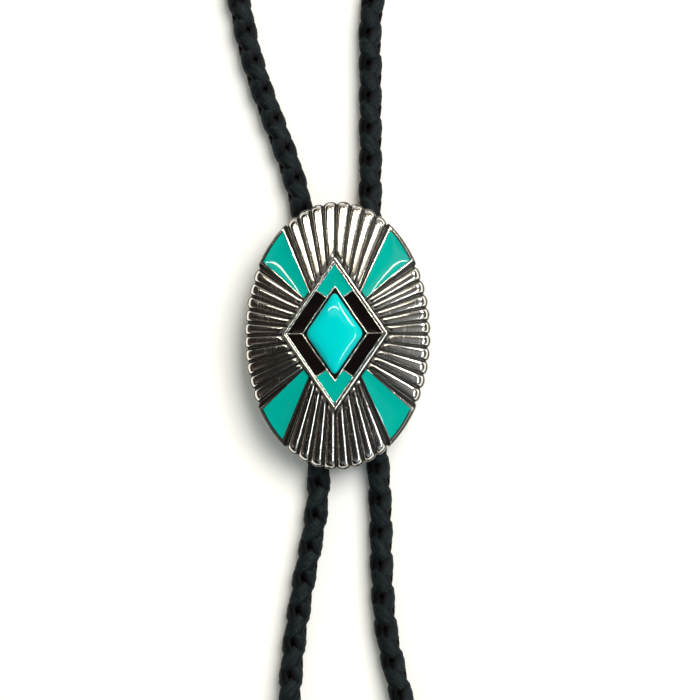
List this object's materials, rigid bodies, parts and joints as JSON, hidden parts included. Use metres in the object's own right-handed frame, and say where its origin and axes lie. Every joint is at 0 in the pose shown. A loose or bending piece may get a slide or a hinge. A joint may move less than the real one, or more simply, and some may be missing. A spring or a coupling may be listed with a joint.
{
  "type": "bolo tie",
  "caption": "Bolo tie lying face up: oval cast slide with ribbed fans, teal and black enamel and a diamond cabochon, on a braided cord with metal tips.",
  "frame": {"origin": "middle of the clip's flat back, which lies on the table", "axes": "+X to the right and +Y up towards the neck loop as the slide's face is seen, +Z out of the face"},
  "size_m": [0.1735, 0.4255, 0.0134],
  "materials": {
    "antiqued_silver": "polished cast metal, blackened in the grooves",
    "teal_enamel": "glossy opaque enamel",
    "black_enamel": "glossy opaque enamel",
    "turquoise_stone": "glossy opaque cast stone",
    "plated_metal": "plain nickel plate",
    "black_braid": "four-strand round braid of soft leatherette, satin"
  },
  "bodies": {
    "root": {"slide_body": "antiqued_silver", "wedge_upper_right": "teal_enamel", "wedge_upper_left": "teal_enamel", "wedge_lower_left": "teal_enamel", "wedge_lower_right": "teal_enamel", "chevron_top": "teal_enamel", "chevron_bottom": "teal_enamel", "panel_upper_right": "black_enamel", "panel_upper_left": "black_enamel", "panel_lower_left": "black_enamel", "panel_lower_right": "black_enamel", "cabochon": "turquoise_stone", "cord_clip": "plated_metal", "neck_loop": "black_braid", "cord_end_left": "black_braid", "cord_end_right": "black_braid", "tip_left": "plated_metal", "tip_right": "plated_metal"}
  },
  "joints": []
}
